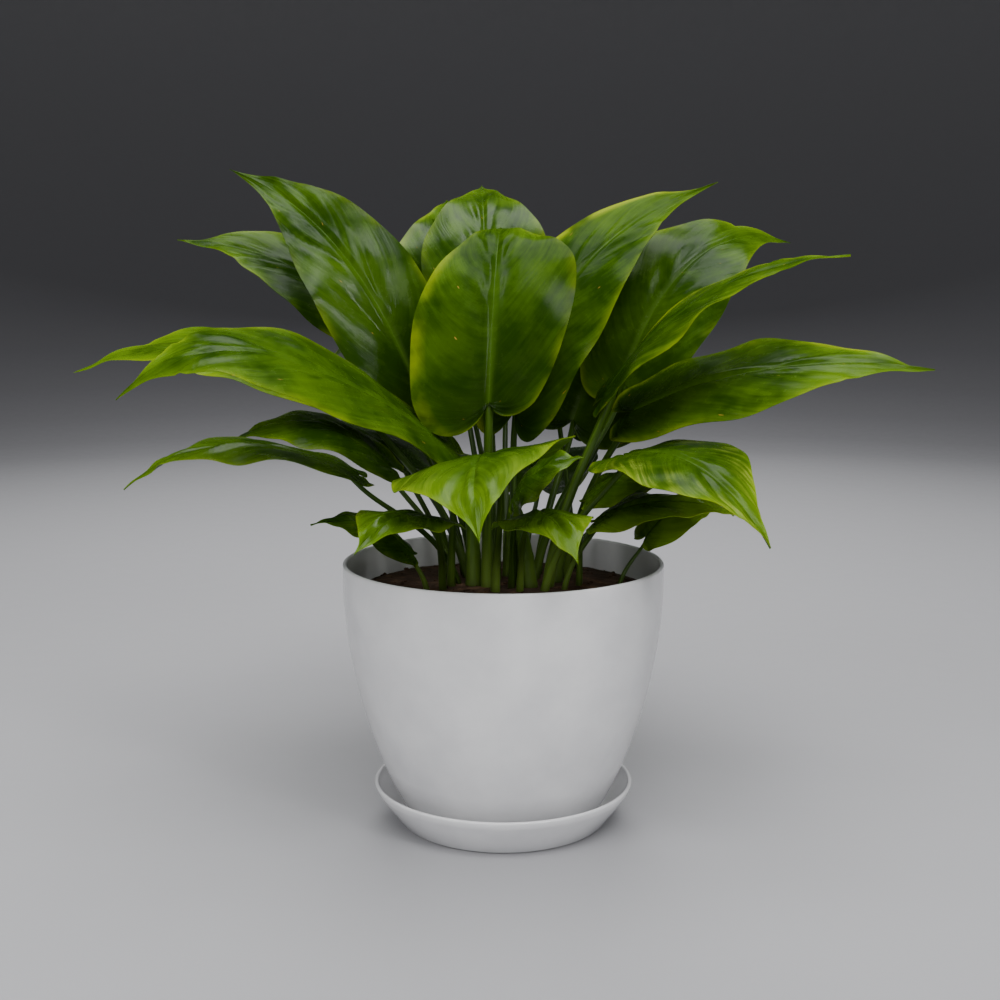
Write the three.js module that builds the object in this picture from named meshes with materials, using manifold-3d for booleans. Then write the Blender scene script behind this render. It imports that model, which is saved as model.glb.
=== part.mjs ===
// A potted golden pothos: a bushy plant of heart-shaped leaves on upright petioles,
// in a white plastic pot that stands on a white plastic saucer.
// Millimetres, +Z up. The origin is at the middle of the saucer's underside.
// The front of the plant faces -Y.

import * as THREE from 'three';
import { mergeVertices } from 'three/addons/utils/BufferGeometryUtils.js';
import Module from 'manifold-3d';

const wasm = await Module();
wasm.setup();

// Turned bodies have this many sides, and neighbouring solids this gap.
const roundSteps = 36;
const fitGap = 0.35;

const saucer = {
  baseRadius: 52.8,
  wallTopRadius: 65,
  rimRadius: 65.9,
  wallTop: 17,
  rimHeight: 20.6,
  thickness: 2,
  rimRounding: 0.5,
  rimStep: 0.7,
};

// The wall's outline is one curve from the foot to the shoulder, led by the lower and belly
// points. The foot stands on a ring round a recessed floor with drainage holes.
const pot = {
  rimRadius: 80.4,
  bellyRadius: 81.5,
  lowerRadius: 65,
  footRadius: 46,
  height: 133.5,
  shoulder: 128,
  bellyHeight: 85,
  lowerHeight: 28,
  wall: 2.2,
  floor: 2.4,
  footRing: 6,
  footRecess: 1.4,
  wallSteps: 7,
  holeCount: 6,
  holeRadius: 3.5,
  holeCircle: 26,
  holeSides: 10,
};

const soil = {
  top: 119,
  crown: 2.5,
  edgeDrop: 1.5,
  edgeWidth: 6,
  rootDepth: 11,
  holeFloor: 1.5,
  holeHead: 10,
  holeSides: 6,
};

// Rows run across a blade and columns out from its midrib. The rows of the first quarter fan
// out from the blade's base, to fill the two lobes.
const blade = {
  thickness: 0.8,
  rows: 8,
  columns: 2,
  fan: 0.25,
  fanPower: 1.1,
  fold: 12,
  sag: 5,
  wave: 1.5,
  waves: 2.2,
};

const petiole = {
  sides: 5,
  steps: 5,
  footRadius: 2.1,
  neckRadius: 1.5,
  lean: 0.35,
  lowerReach: 0.45,
  upperReach: 0.3,
  rise: 0.9,
  ribMiddle: 0.12,
  ribEnd: 0.3,
  ribRadius: 0.3,
  sink: 0.25,
};

const stem = {
  sides: 8,
  steps: 5,
  radius: 4.2,
  lean: 0.4,
  narrowing: 0.05,
};

// Each leaf gives where its petiole enters the soil, where the blade starts and ends, and the
// way its upper side looks. Arch and bow are how far the midrib swells towards that side and
// sideways, and crest is how far along it swells most. Fold lifts the two halves, sag lets their
// margins droop, and skew leads one half ahead of the other. Thick scales the petiole, and bend
// leads its upper part aside.
const leaves = [
  { name: 'leaf_01', root: [-8, -6], base: [-7, -25, 215], tip: [-1, 26, 299], face: [-0.05, -1, 0.6],
    width: 79, arch: 15, crest: 0.82, fold: 8, sag: 4, skew: 0.3, thick: 1.4 },
  { name: 'leaf_02', root: [-14, 8], base: [-42, 14, 214], tip: [-138, 30, 328], face: [0.2, -0.8, 0.4],
    width: 60, arch: 12, bow: 13, crest: 0.6, fold: 12 },
  { name: 'leaf_03', root: [-20, 26], base: [-62, 50, 240], tip: [-169, 46, 293], face: [0.1, -0.6, 0.8],
    width: 58, arch: 14, bow: 6, fold: 12, thick: 0.85 },
  { name: 'leaf_04', root: [-26, -2], base: [-28, -24, 194], tip: [-167, -90, 221], face: [0.2, -0.42, 0.9],
    width: 64, arch: 33, crest: 0.8, fold: 6 },
  { name: 'leaf_05', root: [-18, 18], base: [-74, 34, 211], tip: [-220, 26, 226], face: [0, -0.42, 1],
    width: 66, arch: 22, fold: 6, bend: [0, 8, 0] },
  { name: 'leaf_06', root: [-24, 11], base: [-60, 20, 180], tip: [-150, 20, 184], face: [0, -0.3, 1],
    width: 44, arch: 20, fold: 6, thick: 0.8 },
  { name: 'leaf_07', root: [-22, 3], base: [-74, -24, 182], tip: [-175, -54, 177], face: [0, -0.12, 1],
    width: 50, arch: 17, crest: 0.6, fold: 6, thick: 0.75 },
  { name: 'leaf_08', root: [-38, -8], base: [-46, -10, 140], tip: [-94, -20, 155], face: [0.2, -0.3, 1],
    width: 34, arch: 8, fold: 6, thick: 0.7 },
  { name: 'leaf_09', root: [-30, -9], base: [-33, -46, 162], tip: [-65, -94, 154], face: [-0.2, -0.45, 1],
    width: 50, arch: 9, fold: 6, thick: 0.9 },
  { name: 'leaf_10', root: [-4, -17], base: [-3, -52, 188], tip: [-10, -142, 168], face: [-0.35, -0.35, 1],
    width: 84, arch: 18, fold: 4 },
  { name: 'leaf_11', root: [4, -8], base: [6, -22, 170], tip: [38, -40, 190], face: [-0.3, -0.5, 0.9],
    width: 40, arch: 6, fold: 4, thick: 0.8 },
  { name: 'leaf_12', root: [8, -16], base: [11, -46, 162], tip: [32, -102, 151], face: [0.1, -0.45, 1],
    width: 46, arch: 11, fold: 4, thick: 0.8 },
  { name: 'leaf_13', root: [20, -13], base: [59, -32, 190], tip: [115, -96, 157], face: [0.1, -0.45, 1],
    width: 65, arch: 17, fold: 4, sag: 3 },
  { name: 'leaf_14', root: [30, -10], base: [48, -12, 157], tip: [118, -28, 158], face: [0, -0.25, 1],
    width: 38, arch: 10, fold: 4, thick: 0.7 },
  { name: 'leaf_15', root: [57, -8], base: [72, 2, 146], tip: [118, 16, 153], face: [0, -0.3, 1],
    width: 32, arch: 14, fold: 4, thick: 0.55 },
  { name: 'leaf_16', root: [38, 0], base: [42, -4, 166], tip: [90, -2, 174], face: [0, -0.2, 1],
    width: 38, arch: 8, fold: 4, thick: 0.8 },
  { name: 'leaf_17', root: [32, 20], base: [66, 4, 209], tip: [203, -32, 231], face: [0, -0.5, 0.9],
    width: 66, arch: 13, fold: 4, bend: [0, 10, 0] },
  { name: 'leaf_18', root: [22, -4], base: [51, -14, 221], tip: [160, -37, 284], face: [-0.53, -0.15, 0.84],
    width: 49, arch: 16, fold: 3, sag: 3, thick: 1.4 },
  { name: 'leaf_19', root: [16, 14], base: [63, 42, 222], tip: [157, 86, 293], face: [-0.35, -0.8, 0.5],
    width: 68, arch: 26, bow: -13, crest: 0.6, fold: 8 },
  { name: 'leaf_20', root: [6, 4], base: [6, 8, 211], tip: [113, 60, 324], face: [-0.45, -0.8, 0.35],
    width: 62, arch: 14, bow: -17, fold: 10 },
  { name: 'leaf_21', root: [-3, 12], base: [-8, 50, 244], tip: [-12, 108, 326], face: [0, -1, 0.6],
    width: 68, arch: 26, fold: 10, thick: 0.85 },
  { name: 'leaf_22', root: [-8, 21], base: [-24, 72, 242], tip: [-32, 122, 318], face: [0, -1, 0.6],
    width: 66, arch: 24, fold: 10, thick: 0.8 },
  { name: 'leaf_23', root: [18, 28], base: [38, 60, 199], tip: [80, 96, 282], face: [-0.2, -1, 0.4],
    width: 90, arch: 10, fold: 8 },
  { name: 'leaf_24', root: [-30, 38], base: [-54, 58, 176], tip: [-130, 112, 184], face: [0, 0.1, 1],
    width: 60, arch: 13, fold: 8, thick: 0.8 },
  { name: 'leaf_25', root: [-12, 32], base: [-46, 80, 198], tip: [-102, 150, 228], face: [-0.2, 0.5, 1],
    width: 72, arch: 22, fold: 8, thick: 0.85 },
  { name: 'leaf_26', root: [2, 36], base: [2, 108, 206], tip: [6, 194, 240], face: [0.1, 0.5, 1],
    width: 78, arch: 24, fold: 8, thick: 0.9 },
  { name: 'leaf_27', root: [18, 44], base: [56, 100, 196], tip: [120, 164, 244], face: [0.2, 0.5, 1],
    width: 74, arch: 22, fold: 8, thick: 0.85 },
  { name: 'leaf_28', root: [-14, 46], base: [-28, 80, 162], tip: [-64, 154, 162], face: [0, 0.2, 1],
    width: 60, arch: 14, fold: 8, thick: 0.75 },
  { name: 'leaf_29', root: [12, 58], base: [20, 86, 160], tip: [38, 162, 160], face: [0, 0.2, 1],
    width: 60, arch: 14, fold: 8, thick: 0.75 },
  { name: 'leaf_30', root: [34, 40], base: [62, 60, 158], tip: [128, 104, 168], face: [0, 0.1, 1],
    width: 54, arch: 10, fold: 8, thick: 0.75 },
  { name: 'leaf_31', root: [-4, 60], base: [-24, 94, 246], tip: [-66, 140, 294], face: [-0.4, 1, 0.6],
    width: 56, arch: 14, fold: 8, thick: 0.75 },
  { name: 'leaf_32', root: [38, 50], base: [30, 96, 238], tip: [62, 140, 296], face: [0.4, 1, 0.6],
    width: 56, arch: 14, fold: 8, thick: 0.75 },
];

const stems = [
  { name: 'stem_1', root: [-15, -1], top: [-16, 3, 158] },
  { name: 'stem_2', root: [13, -4], top: [5, -3, 164] },
  { name: 'stem_3', root: [3, 22], top: [6, 26, 168], thick: 0.9 },
  { name: 'stem_4', root: [26, 7], top: [33, 9, 152], thick: 0.9 },
  { name: 'stem_5', root: [-30, 26], top: [-34, 27, 148], thick: 0.9 },
  { name: 'stem_6', root: [-6, 41], top: [-7, 45, 150], thick: 0.85 },
];

const green = 0x4f8a0a;
const darkGreen = 0x3f6a12;
const soilBrown = 0x3a2318;
const white = 0xe9e9ea;

const plastic = { roughness: 0.32, metalness: 0 };
const leafFinish = { roughness: 0.42, metalness: 0 };
const stemFinish = { roughness: 0.5, metalness: 0 };
const soilFinish = { roughness: 0.95, metalness: 0 };

const up = new THREE.Vector3(0, 0, 1);
const group = new THREE.Group();

function addMesh(name, geometry, color, finish) {
  const mesh = new THREE.Mesh(geometry, new THREE.MeshStandardMaterial({ color, ...finish }));
  mesh.name = name;
  group.add(mesh);
}

function solidOf(geometry) {
  const bare = geometry.clone();
  bare.deleteAttribute('normal');
  bare.deleteAttribute('uv');
  const merged = mergeVertices(bare, 1e-4);
  return new wasm.Manifold(new wasm.Mesh({
    numProp: 3,
    vertProperties: Float32Array.from(merged.attributes.position.array),
    triVerts: Uint32Array.from(merged.index.array),
  }));
}

function geometryOf(solid) {
  const mesh = solid.getMesh();
  const geometry = new THREE.BufferGeometry();
  geometry.setAttribute('position', new THREE.BufferAttribute(mesh.vertProperties, 3));
  geometry.setIndex(new THREE.BufferAttribute(mesh.triVerts, 1));
  geometry.computeVertexNormals();
  return geometry;
}

function geometryFrom(points, triangles) {
  const geometry = new THREE.BufferGeometry();
  geometry.setFromPoints(points);
  geometry.setIndex(triangles.flat());
  return geometry;
}

// A turned body: the profile's radii and heights run from the axis round and back to it.
function turned(profile) {
  const points = profile.map(([radius, height]) => new THREE.Vector2(radius, height));
  const geometry = new THREE.LatheGeometry(points, roundSteps);
  geometry.rotateX(Math.PI / 2);
  return geometry;
}

// The pot's outer wall from the foot up to the shoulder.
function potOutline() {
  const curve = new THREE.CubicBezierCurve(
    new THREE.Vector2(pot.footRadius, saucer.thickness),
    new THREE.Vector2(pot.lowerRadius, pot.lowerHeight),
    new THREE.Vector2(pot.bellyRadius, pot.bellyHeight),
    new THREE.Vector2(pot.rimRadius, pot.shoulder),
  );
  return curve.getPoints(pot.wallSteps).map((point) => [point.x, point.y]);
}

// The outline moved in by a wall thickness, from the floor's height up.
function insetOutline(distance, lowest) {
  const outer = potOutline();
  const inner = [];
  outer.forEach(([radius, height], index) => {
    const before = outer[Math.max(index - 1, 0)];
    const after = outer[Math.min(index + 1, outer.length - 1)];
    const along = new THREE.Vector2(after[0] - before[0], after[1] - before[1]).normalize();
    const point = [radius - along.y * distance, height + along.x * distance];
    if (point[1] > lowest + 1) {
      inner.push(point);
    }
  });
  const [nextRadius, nextHeight] = inner[0];
  const slope = (inner[1][0] - nextRadius) / (inner[1][1] - nextHeight);
  inner.unshift([nextRadius - slope * (nextHeight - lowest), lowest]);
  return inner;
}

const potFloor = saucer.thickness + pot.footRecess + pot.floor;

function makeSaucer() {
  const { baseRadius, wallTopRadius, rimRadius, rimRounding, rimStep } = saucer;
  const { wallTop, rimHeight, thickness } = saucer;
  addMesh('saucer', turned([
    [0, 0],
    [baseRadius, 0],
    [wallTopRadius, wallTop],
    [rimRadius, rimHeight - rimStep],
    [rimRadius - rimRounding, rimHeight],
    [rimRadius - thickness + rimRounding, rimHeight],
    [rimRadius - thickness, rimHeight - rimStep],
    [wallTopRadius - 0.9 * thickness, wallTop + rimStep],
    [baseRadius - 0.45 * thickness, thickness],
    [0, thickness],
  ]), white, plastic);
}

function makePot() {
  const inner = insetOutline(pot.wall, potFloor);
  const ringIn = pot.footRadius - pot.footRing;
  const recess = saucer.thickness + pot.footRecess;
  const half = pot.wall / 2;
  const middle = pot.rimRadius - half;
  const rim = [0, 45, 90, 135, 180].map(THREE.MathUtils.degToRad).map((angle) => [
    middle + half * Math.cos(angle),
    pot.height - half + half * Math.sin(angle),
  ]);
  const body = turned([
    [0, recess],
    [ringIn - pot.footRecess, recess],
    [ringIn, saucer.thickness],
    ...potOutline(),
    ...rim,
    ...inner.reverse(),
    [0, potFloor],
  ]);
  let solid = solidOf(body);
  for (let index = 0; index < pot.holeCount; index += 1) {
    const angle = index * 2 * Math.PI / pot.holeCount;
    const depth = 4 * pot.floor;
    const hole = new THREE.CylinderGeometry(pot.holeRadius, pot.holeRadius, depth, pot.holeSides);
    hole.rotateX(Math.PI / 2);
    hole.translate(pot.holeCircle * Math.cos(angle), pot.holeCircle * Math.sin(angle), potFloor);
    solid = solid.subtract(solidOf(hole));
  }
  addMesh('pot', geometryOf(solid), white, plastic);
}

// A closed tube of changing radius along a list of points.
function taperedTube(points, radii, sides) {
  const rings = [];
  let across = new THREE.Vector3(1, 0, 0);
  points.forEach((point, index) => {
    const before = points[Math.max(index - 1, 0)];
    const after = points[Math.min(index + 1, points.length - 1)];
    const along = after.clone().sub(before).normalize();
    across = across.clone().addScaledVector(along, -across.dot(along)).normalize();
    const beside = along.clone().cross(across);
    for (let side = 0; side < sides; side += 1) {
      const angle = side * 2 * Math.PI / sides;
      rings.push(point.clone()
        .addScaledVector(across, radii[index] * Math.cos(angle))
        .addScaledVector(beside, radii[index] * Math.sin(angle)));
    }
  });
  const triangles = [];
  for (let ring = 0; ring < points.length - 1; ring += 1) {
    for (let side = 0; side < sides; side += 1) {
      const next = (side + 1) % sides;
      const low = ring * sides;
      const high = low + sides;
      triangles.push([low + side, low + next, high + next], [low + side, high + next, high + side]);
    }
  }
  const last = (points.length - 1) * sides;
  for (let side = 1; side < sides - 1; side += 1) {
    triangles.push([0, side + 1, side], [last, last + side, last + side + 1]);
  }
  return geometryFrom(rings, triangles);
}

// The midrib is one bow from the blade's base to its tip. Its frame gives the way along it,
// the way across the blade, and the way that the upper side looks.
function midribOf(leaf) {
  const base = new THREE.Vector3(...leaf.base);
  const tip = new THREE.Vector3(...leaf.tip);
  const chord = tip.clone().sub(base);
  const ahead = chord.clone().normalize();
  const face = new THREE.Vector3(...leaf.face);
  const across = ahead.clone().cross(face).normalize();
  const upper = across.clone().cross(ahead);
  const middle = base.clone()
    .addScaledVector(chord, leaf.crest ?? 0.5)
    .addScaledVector(upper, 2 * leaf.arch)
    .addScaledVector(across, 2 * (leaf.bow ?? 0));
  const curve = new THREE.QuadraticBezierCurve3(base, middle, tip);
  const length = curve.getLength();
  const frameAt = (share) => {
    const held = Math.min(Math.max(share, 0), 1);
    const point = curve.getPoint(held);
    const along = curve.getTangent(held);
    point.addScaledVector(along, (share - held) * length);
    const side = along.clone().cross(upper).normalize();
    const normal = side.clone().cross(along);
    return { point, along, side, normal };
  };
  return { frameAt, length };
}

// The margin of one half: along and across as shares of the length and of the width.
const lobe = new THREE.CubicBezierCurve(
  new THREE.Vector2(0, 0),
  new THREE.Vector2(-0.2, 0.08),
  new THREE.Vector2(-0.12, 0.5),
  new THREE.Vector2(0.32, 0.5),
);
const taper = new THREE.CubicBezierCurve(
  new THREE.Vector2(0.32, 0.5),
  new THREE.Vector2(0.6, 0.5),
  new THREE.Vector2(0.77, 0.065),
  new THREE.Vector2(1, 0),
);

function marginAt(share) {
  return share < 0.5 ? lobe.getPoint(2 * share) : taper.getPoint(2 * share - 1);
}

// A point of the blade's middle sheet, by its share along and its distance across.
function bladePoint(leaf, midrib, along, across) {
  const { point, side, normal } = midrib.frameAt(along);
  const reach = Math.abs(across) / (leaf.width / 2);
  const lift = THREE.MathUtils.degToRad(leaf.fold ?? blade.fold);
  const phase = across > 0 ? 0.3 : 0.8;
  const wave = blade.wave * Math.sin(2 * Math.PI * (blade.waves * along + phase) + leaf.width);
  const rise = Math.abs(across) * Math.sin(lift) + reach * reach * (wave - (leaf.sag ?? blade.sag));
  return point.addScaledVector(side, across * Math.cos(lift)).addScaledVector(normal, rise);
}

function bladeSheet(leaf, midrib) {
  const points = [];
  const triangles = [];
  const known = new Map();
  const pointAt = (row, column, sign) => {
    const share = row / blade.rows;
    const margin = marginAt(share);
    const rib = Math.max(0, (share - blade.fan) / (1 - blade.fan)) ** blade.fanPower;
    const reach = column / blade.columns;
    const lead = sign * (leaf.skew ?? 0) * margin.y * reach;
    const along = THREE.MathUtils.lerp(rib, margin.x, reach) + lead;
    const across = sign * leaf.width * margin.y * reach;
    const key = `${along.toFixed(4)} ${across.toFixed(3)}`.replace('-0.000', '0.000');
    if (!known.has(key)) {
      known.set(key, points.length);
      points.push(bladePoint(leaf, midrib, along, across));
    }
    return known.get(key);
  };
  const addTriangle = (a, b, c) => {
    if (a !== b && b !== c && c !== a) {
      triangles.push([a, b, c]);
    }
  };
  for (const sign of [1, -1]) {
    for (let row = 0; row < blade.rows; row += 1) {
      for (let column = 0; column < blade.columns; column += 1) {
        const inner = pointAt(row, column, sign);
        const innerNext = pointAt(row + 1, column, sign);
        const outer = pointAt(row, column + 1, sign);
        const outerNext = pointAt(row + 1, column + 1, sign);
        if (sign > 0) {
          addTriangle(inner, outer, outerNext);
          addTriangle(inner, outerNext, innerNext);
        } else {
          addTriangle(inner, outerNext, outer);
          addTriangle(inner, innerNext, outerNext);
        }
      }
    }
  }
  return { points, triangles };
}

// The sheet given a thickness: both faces have the same triangles, with a wall at the margin.
function thicken({ points, triangles }) {
  const sheet = geometryFrom(points, triangles);
  sheet.computeVertexNormals();
  const normals = sheet.attributes.normal;
  const both = [1, -1].flatMap((side) => points.map((point, index) => point.clone()
    .addScaledVector(new THREE.Vector3().fromBufferAttribute(normals, index),
      side * blade.thickness / 2)));
  const count = points.length;
  const faces = triangles.flatMap(([a, b, c]) => [[a, b, c], [a + count, c + count, b + count]]);
  const edges = new Set(triangles.flatMap(([a, b, c]) => [`${a} ${b}`, `${b} ${c}`, `${c} ${a}`]));
  for (const edge of edges) {
    const [a, b] = edge.split(' ').map(Number);
    if (!edges.has(`${b} ${a}`)) {
      faces.push([a, a + count, b + count], [a, b + count, b]);
    }
  }
  return geometryFrom(both, faces);
}

// The way that a petiole or stem leaves the soil: upright, leaning a little to where it goes.
function footOf(root, goal, lean) {
  const foot = new THREE.Vector3(root[0], root[1], soil.top);
  const away = goal.clone().sub(foot);
  const way = new THREE.Vector3(away.x * lean, away.y * lean, away.z).normalize();
  return { foot, way };
}

// A petiole rises from its hole in the soil and runs on under the midrib, thinning out.
function petioleOf(leaf, midrib) {
  const start = midrib.frameAt(0);
  const thick = leaf.thick ?? 1;
  const neckRadius = petiole.neckRadius * thick;
  const joint = start.point.clone().addScaledVector(start.normal, petiole.sink - neckRadius);
  const { foot, way } = footOf(leaf.root, joint, petiole.lean);
  const reach = joint.distanceTo(foot);
  const arrive = start.along.clone().addScaledVector(up, petiole.rise).normalize();
  const bend = new THREE.Vector3(...(leaf.bend ?? [0, 0, 0]));
  const lower = foot.clone().addScaledVector(way, petiole.lowerReach * reach);
  const upper = joint.clone().addScaledVector(arrive, -petiole.upperReach * reach).add(bend);
  const curve = new THREE.CubicBezierCurve3(foot, lower, upper, joint);
  const footRadius = petiole.footRadius * thick;
  const points = [foot.clone().addScaledVector(way, -soil.rootDepth)];
  const radii = [footRadius];
  curve.getPoints(petiole.steps).forEach((point, index) => {
    points.push(point);
    radii.push(THREE.MathUtils.lerp(footRadius, neckRadius, index / petiole.steps));
  });
  for (const share of [petiole.ribMiddle, petiole.ribEnd]) {
    const frame = midrib.frameAt(share);
    const radius = THREE.MathUtils.lerp(neckRadius, petiole.ribRadius, share / petiole.ribEnd);
    points.push(frame.point.addScaledVector(frame.normal, petiole.sink - radius));
    radii.push(radius);
  }
  return { stalk: taperedTube(points, radii, petiole.sides), foot, way, footRadius };
}

function makeLeaf(leaf, holes) {
  const midrib = midribOf(leaf);
  const sheet = solidOf(thicken(bladeSheet(leaf, midrib)));
  const { stalk, foot, way, footRadius } = petioleOf(leaf, midrib);
  addMesh(leaf.name, geometryOf(sheet.add(solidOf(stalk))), green, leafFinish);
  holes.push({ foot, way, radius: footRadius + fitGap });
}

function makeStem(item, holes) {
  const top = new THREE.Vector3(...item.top);
  const { foot, way } = footOf(item.root, top, stem.lean);
  const radius = stem.radius * (item.thick ?? 1);
  const curve = new THREE.QuadraticBezierCurve3(foot,
    foot.clone().addScaledVector(way, 0.5 * top.distanceTo(foot)), top);
  const points = [foot.clone().addScaledVector(way, -soil.rootDepth), ...curve.getPoints(stem.steps)];
  const radii = points.map((point, index) => radius * (1 - stem.narrowing * index));
  addMesh(item.name, taperedTube(points, radii, stem.sides), darkGreen, stemFinish);
  holes.push({ foot, way, radius: radius + fitGap });
}

function makeSoil(holes) {
  const inner = insetOutline(pot.wall + fitGap, potFloor);
  const edge = soil.top - soil.edgeDrop;
  const side = inner.filter(([, height]) => height < edge - 1);
  const [topRadius] = side[side.length - 1];
  let solid = solidOf(turned([
    [0, potFloor],
    ...side,
    [topRadius, edge],
    [topRadius - soil.edgeWidth, soil.top],
    [topRadius * 0.5, soil.top + soil.crown * 0.7],
    [0, soil.top + soil.crown],
  ]));
  for (const { foot, way, radius } of holes) {
    const depth = soil.rootDepth + soil.holeFloor;
    const reach = depth + soil.holeHead;
    const corner = radius / Math.cos(Math.PI / soil.holeSides);
    const hole = new THREE.CylinderGeometry(corner, corner, reach, soil.holeSides);
    hole.translate(0, reach / 2 - depth, 0);
    hole.applyQuaternion(new THREE.Quaternion().setFromUnitVectors(new THREE.Vector3(0, 1, 0), way));
    hole.translate(foot.x, foot.y, foot.z);
    solid = solid.subtract(solidOf(hole));
  }
  addMesh('soil', geometryOf(solid), soilBrown, soilFinish);
}

makeSaucer();
makePot();
const holes = [];
stems.forEach((item) => makeStem(item, holes));
leaves.forEach((leaf) => makeLeaf(leaf, holes));
makeSoil(holes);

export default group;
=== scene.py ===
import math
import random

import bpy
from mathutils import Matrix, Vector, noise


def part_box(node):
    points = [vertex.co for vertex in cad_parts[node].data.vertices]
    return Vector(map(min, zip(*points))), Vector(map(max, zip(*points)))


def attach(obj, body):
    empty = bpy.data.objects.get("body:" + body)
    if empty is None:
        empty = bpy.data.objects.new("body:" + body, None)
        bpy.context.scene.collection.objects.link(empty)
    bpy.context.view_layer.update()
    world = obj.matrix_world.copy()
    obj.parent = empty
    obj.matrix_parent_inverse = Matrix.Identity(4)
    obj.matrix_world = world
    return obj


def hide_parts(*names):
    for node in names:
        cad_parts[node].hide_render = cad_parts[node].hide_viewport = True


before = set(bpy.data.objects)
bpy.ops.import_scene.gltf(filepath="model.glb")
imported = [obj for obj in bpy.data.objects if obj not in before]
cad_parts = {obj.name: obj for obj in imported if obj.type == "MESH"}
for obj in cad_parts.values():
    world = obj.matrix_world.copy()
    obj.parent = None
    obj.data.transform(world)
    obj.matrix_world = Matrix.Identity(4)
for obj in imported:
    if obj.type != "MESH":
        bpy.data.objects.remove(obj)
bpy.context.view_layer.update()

# A potted golden pothos: heart-shaped leaves on upright petioles, in a white plastic pot
# on its saucer. Sizes in the dictionaries are millimetres and become metres through mm.
mm = 0.001


# camera, as the photograph was taken: a little above the pot's rim, looking slightly down
cameraSetup = {"place": (-1.66, -686.9, 267.4), "lookDown": 8.565, "lens": 50, "sensor": 36}


def addCamera(setup):
    turn = (math.radians(90 - setup["lookDown"]), 0, 0)
    bpy.ops.object.camera_add(location=Vector(setup["place"]) * mm, rotation=turn)
    camera = bpy.context.object
    camera.name = "plantCamera"
    camera.data.lens = setup["lens"]
    camera.data.sensor_width = setup["sensor"]
    bpy.context.scene.camera = camera


addCamera(cameraSetup)
print("camera placed")


# ways of making that several pieces share

def nameNew(name):
    piece = bpy.context.object
    piece.name = name
    piece.data.name = name
    return piece


# A grid primitive whose points are moved one by one. Place and the values kept with each point
# take its shares across and along; valuesAt gives a tone, marks and, for a blade, its thickness.
def addSheet(name, columns, rows, place, valuesAt=None):
    bpy.ops.mesh.primitive_grid_add(x_subdivisions=columns, y_subdivisions=rows, size=2, calc_uvs=True)
    piece = nameNew(name)
    shares = [((vertex.co.x + 1) / 2, (vertex.co.y + 1) / 2) for vertex in piece.data.vertices]
    for vertex, (across, along) in zip(piece.data.vertices, shares):
        vertex.co = place(across, along)
    if valuesAt:
        values = [valuesAt(across, along) for across, along in shares]
        group = piece.vertex_groups.new(name="thickness")
        for index, value in enumerate(values):
            group.add([index], value[2], "REPLACE")
        for entry, attributeName in enumerate(("leafTone", "leafMarks")):
            kept = piece.data.attributes.new(attributeName, "FLOAT_COLOR", "POINT")
            kept.data.foreach_set("color", [part for value in values for part in (*value[entry], 1)])
    bpy.ops.object.mode_set(mode="EDIT")
    bpy.ops.mesh.select_all(action="SELECT")
    bpy.ops.mesh.remove_doubles(threshold=0.02 * mm)
    bpy.ops.object.mode_set(mode="OBJECT")
    return piece


# one vertex drawn out along an outline of radii and heights, then spun round the pot's axis
def spinOutline(name, outline, steps):
    bpy.ops.mesh.primitive_plane_add(size=mm)
    piece = nameNew(name)
    bpy.ops.object.mode_set(mode="EDIT")
    bpy.ops.mesh.select_mode(type="VERT")
    bpy.ops.mesh.select_all(action="SELECT")
    bpy.ops.mesh.merge(type="CENTER")
    bpy.ops.transform.translate(value=(outline[0][0] * mm, 0, outline[0][1] * mm))
    for (radius, height), (nextRadius, nextHeight) in zip(outline, outline[1:]):
        step = ((nextRadius - radius) * mm, 0, (nextHeight - height) * mm)
        bpy.ops.mesh.extrude_region_move(TRANSFORM_OT_translate={"value": step})
    bpy.ops.mesh.select_all(action="SELECT")
    bpy.ops.mesh.spin(steps=steps, angle=2 * math.pi, center=(0, 0, 0), axis=(0, 0, 1))
    bpy.ops.mesh.select_all(action="SELECT")
    bpy.ops.mesh.remove_doubles(threshold=0.01 * mm)
    bpy.ops.mesh.normals_make_consistent(inside=False)
    bpy.ops.object.mode_set(mode="OBJECT")
    return piece


def selectOnly(pieces):
    bpy.ops.object.select_all(action="DESELECT")
    for piece in pieces:
        piece.select_set(True)
    bpy.context.view_layer.objects.active = pieces[0]


def joinPieces(pieces):
    selectOnly(pieces)
    bpy.ops.object.join()
    return pieces[0]


def smoothPiece(piece, angle):
    selectOnly([piece])
    bpy.ops.object.shade_smooth_by_angle(angle=math.radians(angle))


def bezierPoint(points, share):
    while len(points) > 1:
        points = [start.lerp(end, share) for start, end in zip(points, points[1:])]
    return points[0]


# 0 before start, 1 after end, and an even turn between them
def easeIn(value, start, end):
    share = min(max((value - start) / (end - start), 0), 1)
    return share * share * (3 - 2 * share)


# sRGB hex to the linear colour that the shaders take
def hexColour(text):
    parts = [int(text[place:place + 2], 16) / 255 for place in (1, 3, 5)]
    return [part / 12.92 if part <= 0.04045 else ((part + 0.055) / 1.055) ** 2.4 for part in parts] + [1]


# an input that is given a socket is linked to it, and any other value is set
def setInputs(node, inputs):
    for key, value in inputs.items():
        if isinstance(value, bpy.types.NodeSocket):
            node.id_data.links.new(value, node.inputs[key])
        else:
            node.inputs[key].default_value = value


# adds a node with its settings and links, and gives back its outputs
def addNode(tree, kind, inputs, **settings):
    added = tree.nodes.new("ShaderNode" + kind)
    for setting, value in settings.items():
        setattr(added, setting, value)
    setInputs(added, inputs)
    return added.outputs


def newMaterial(name):
    material = bpy.data.materials.new(name)
    material.use_nodes = True
    tree = material.node_tree
    return material, tree, tree.nodes["Principled BSDF"]


# pot and saucer

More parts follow.
